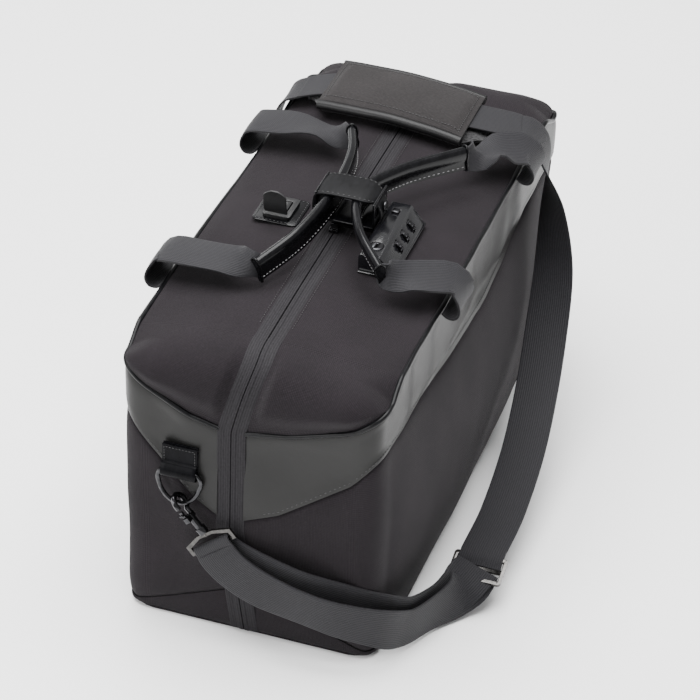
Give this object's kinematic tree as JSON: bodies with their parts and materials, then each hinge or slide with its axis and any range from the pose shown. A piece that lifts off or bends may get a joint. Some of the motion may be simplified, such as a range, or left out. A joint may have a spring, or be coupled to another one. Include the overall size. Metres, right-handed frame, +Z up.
{
  "type": "travel holdall",
  "caption": "Soft box-shaped travel bag with zipped top flaps, two wrapped webbing handles, combination zip lock, charging outlet and padded shoulder strap.",
  "frame": {"origin": "middle of the base, on the floor", "axes": "+X along the length towards the far end, +Y to the rear side, +Z up"},
  "size_m": [0.5456, 0.3273, 0.313],
  "materials": {
    "shell_fabric": "matt woven polyester, dark charcoal",
    "pad_fabric": "matt woven polyester over foam",
    "band_coated_fabric": "smooth satin coated leatherette",
    "piping_gloss": "glossy black welt",
    "leather_black": "glossy black leather, fine grain",
    "webbing": "woven polyester seat-belt webbing",
    "zip_tape": "ribbed nylon zip tape with coil",
    "gunmetal": "dark gunmetal plating",
    "lock_gloss": "glossy black moulding",
    "lock_metal": "dark steel",
    "outlet_plastic": "black moulding",
    "cover_rubber": "soft black rubber",
    "board": "stiff base board",
    "lining_fabric": "plain grey lining"
  },
  "bodies": {
    "root": {"base_panel": "shell_fabric", "base_board": "board", "lining": "lining_fabric", "shell_front": "shell_fabric", "shell_rear": "shell_fabric", "band_front": "band_coated_fabric", "band_rear": "band_coated_fabric", "piping_front": "piping_gloss", "piping_rear": "piping_gloss", "skirt_near_front": "shell_fabric", "skirt_near_rear": "shell_fabric", "skirt_far_front": "shell_fabric", "skirt_far_rear": "shell_fabric", "zip_end_near": "zip_tape", "zip_end_far": "zip_tape", "tab_near": "leather_black", "tab_far": "leather_black", "strap_fold": "webbing", "strap_front_run": "webbing", "strap_rear_run": "webbing"},
    "rear_flap": {"top_rear": "shell_fabric", "zip_tape_rear": "zip_tape", "usb_patch": "leather_black", "usb_frame": "outlet_plastic", "usb_socket": "outlet_plastic", "strap_top": "webbing"},
    "front_flap": {"top_front": "shell_fabric", "zip_tape_front": "zip_tape", "lock_base": "lock_gloss", "lock_cover": "lock_gloss"},
    "slider_near": {"slider_near": "gunmetal"},
    "slider_far": {"slider_far": "gunmetal"},
    "puller_near": {"puller_near": "gunmetal"},
    "puller_far": {"puller_far": "gunmetal"},
    "rear_handle": {"grip_rear": "leather_black", "tail_rear_near": "webbing", "tail_rear_far": "webbing", "wrap_saddle": "leather_black"},
    "front_handle": {"grip_front": "leather_black", "tail_front_near": "webbing", "tail_front_far": "webbing"},
    "wrap_flap": {"wrap_flap": "leather_black", "wrap_snap": "gunmetal"},
    "dial_1": {"lock_dial_1": "lock_metal"},
    "dial_2": {"lock_dial_2": "lock_metal"},
    "dial_3": {"lock_dial_3": "lock_metal"},
    "lock_button": {"lock_button": "lock_metal"},
    "lock_key": {"lock_key_core": "lock_metal"},
    "usb_flap": {"usb_flap": "cover_rubber"},
    "pad": {"pad_cover": "pad_fabric", "pad_cushion": "pad_fabric"},
    "adjuster": {"adjuster": "gunmetal"},
    "dring_near": {"dring_near": "gunmetal"},
    "hook_near": {"hook_near": "gunmetal"},
    "gate_near": {"gate_near": "gunmetal"},
    "swivel_near": {"loop_near": "gunmetal"},
    "dring_far": {"dring_far": "gunmetal"},
    "hook_far": {"hook_far": "gunmetal"},
    "gate_far": {"gate_far": "gunmetal"},
    "swivel_far": {"loop_far": "gunmetal"}
  },
  "joints": [
    {"name": "rear_flap_hinge", "type": "hinge", "parent": "root", "child": "rear_flap", "pos_m": [0, 0.109, 0.257], "axis": [-1, 0, 0], "range_deg": [0, 80], "deforming": ["strap_top", "strap_front_run", "strap_rear_run", "strap_fold", "pad_cover", "pad_cushion"]},
    {"name": "front_flap_hinge", "type": "hinge", "parent": "root", "child": "front_flap", "pos_m": [0, -0.109, 0.257], "axis": [1, 0, 0], "range_deg": [0, 60]},
    {"name": "slider_near_slide", "type": "slide", "parent": "front_flap", "child": "slider_near", "axis": [-1, 0, 0], "range_m": [0, 0.148]},
    {"name": "slider_far_slide", "type": "slide", "parent": "front_flap", "child": "slider_far", "axis": [1, 0, 0], "range_m": [0, 0.206]},
    {"name": "puller_near_lift", "type": "hinge", "parent": "slider_near", "child": "puller_near", "pos_m": [-0.044, 0, 0.2772], "axis": [-1, 0, 0], "range_deg": [0, 20]},
    {"name": "puller_far_lift", "type": "hinge", "parent": "slider_far", "child": "puller_far", "pos_m": [-0.016, 0, 0.2772], "axis": [-1, 0, 0], "range_deg": [0, 20]},
    {"name": "rear_handle_swing", "type": "hinge", "parent": "rear_flap", "child": "rear_handle", "pos_m": [0, 0.11, 0.257], "axis": [-1, 0, 0], "range_deg": [0, 150], "deforming": ["tail_rear_near", "tail_rear_far", "wrap_saddle", "wrap_flap", "wrap_snap"]},
    {"name": "front_handle_swing", "type": "hinge", "parent": "front_flap", "child": "front_handle", "pos_m": [0, -0.11, 0.257], "axis": [1, 0, 0], "range_deg": [0, 150], "deforming": ["tail_front_near", "tail_front_far"]},
    {"name": "wrap_flap_hinge", "type": "hinge", "parent": "rear_handle", "child": "wrap_flap", "pos_m": [-0.037, 0.016, 0.312], "axis": [-1, 0, 0], "range_deg": [0, 150]},
    {"name": "dial_1_spin", "type": "hinge", "parent": "front_flap", "child": "dial_1", "pos_m": [-0.06212, -0.0576, 0.27711], "axis": [1, 0, 0], "continuous": true},
    {"name": "dial_2_spin", "type": "hinge", "parent": "front_flap", "child": "dial_2", "pos_m": [-0.046, -0.0576, 0.27711], "axis": [1, 0, 0], "continuous": true},
    {"name": "dial_3_spin", "type": "hinge", "parent": "front_flap", "child": "dial_3", "pos_m": [-0.02988, -0.0576, 0.27711], "axis": [1, 0, 0], "continuous": true},
    {"name": "lock_button_press", "type": "slide", "parent": "front_flap", "child": "lock_button", "axis": [0, 0, -1], "range_m": [0, 0.0014], "stiffness_N_per_m": 300, "springref_m": -0.001},
    {"name": "lock_key_turn", "type": "hinge", "parent": "front_flap", "child": "lock_key", "pos_m": [-0.078, -0.046, 0.28331], "axis": [0, 0, 1], "range_deg": [0, 90]},
    {"name": "usb_flap_hinge", "type": "hinge", "parent": "rear_flap", "child": "usb_flap", "pos_m": [-0.0455, 0.052, 0.27567], "axis": [0, 1, 0], "range_deg": [0, 100]},
    {"name": "dring_near_swing", "type": "hinge", "parent": "root", "child": "dring_near", "pos_m": [-0.2572, 0.056, 0.157], "axis": [0, 1, 0], "range_deg": [0, 80]},
    {"name": "hook_near_swing", "type": "hinge", "parent": "dring_near", "child": "hook_near", "pos_m": [-0.2602, 0.053, 0.129], "axis": [0, 1, 0], "range_deg": [0, 30]},
    {"name": "gate_near_press", "type": "hinge", "parent": "hook_near", "child": "gate_near", "pos_m": [-0.2689, 0.04671, 0.12223], "axis": [0, 0.7771, -0.6293], "range_deg": [0, 35], "stiffness_Nm_per_rad": 0.02, "springref_deg": -17.19},
    {"name": "swivel_near_turn", "type": "hinge", "parent": "hook_near", "child": "swivel_near", "pos_m": [-0.2621, 0.03538, 0.10824], "axis": [0, 0.6293, 0.7771], "range_deg": [-15, 15]},
    {"name": "dring_far_swing", "type": "hinge", "parent": "root", "child": "dring_far", "pos_m": [0.2572, 0.056, 0.157], "axis": [0, -1, 0], "range_deg": [0, 80]},
    {"name": "hook_far_swing", "type": "hinge", "parent": "dring_far", "child": "hook_far", "pos_m": [0.2602, 0.059, 0.129], "axis": [0, -1, 0], "range_deg": [0, 30]},
    {"name": "gate_far_press", "type": "hinge", "parent": "hook_far", "child": "gate_far", "pos_m": [0.2689, 0.06529, 0.12223], "axis": [0, -0.7771, -0.6293], "range_deg": [0, 35], "stiffness_Nm_per_rad": 0.02, "springref_deg": -17.19},
    {"name": "swivel_far_turn", "type": "hinge", "parent": "hook_far", "child": "swivel_far", "pos_m": [0.2621, 0.07662, 0.10824], "axis": [0, -0.6293, 0.7771], "range_deg": [-15, 15]},
    {"name": "adjuster_slide", "type": "slide", "parent": "root", "child": "adjuster", "axis": [0.9536, 0, 0.3011], "range_m": [0, 0.05]},
    {"name": "pad_slide", "type": "slide", "parent": "rear_flap", "child": "pad", "axis": [0, 1, 0], "range_m": [-0.03, 0.03]}
  ],
  "couplings": [
    {"joint": "front_flap_hinge", "follows": "rear_flap_hinge", "ratio": 0.75},
    {"joint": "slider_near_slide", "follows": "rear_flap_hinge", "m_per_rad": 0.1055},
    {"joint": "slider_far_slide", "follows": "rear_flap_hinge", "m_per_rad": 0.147}
  ]
}
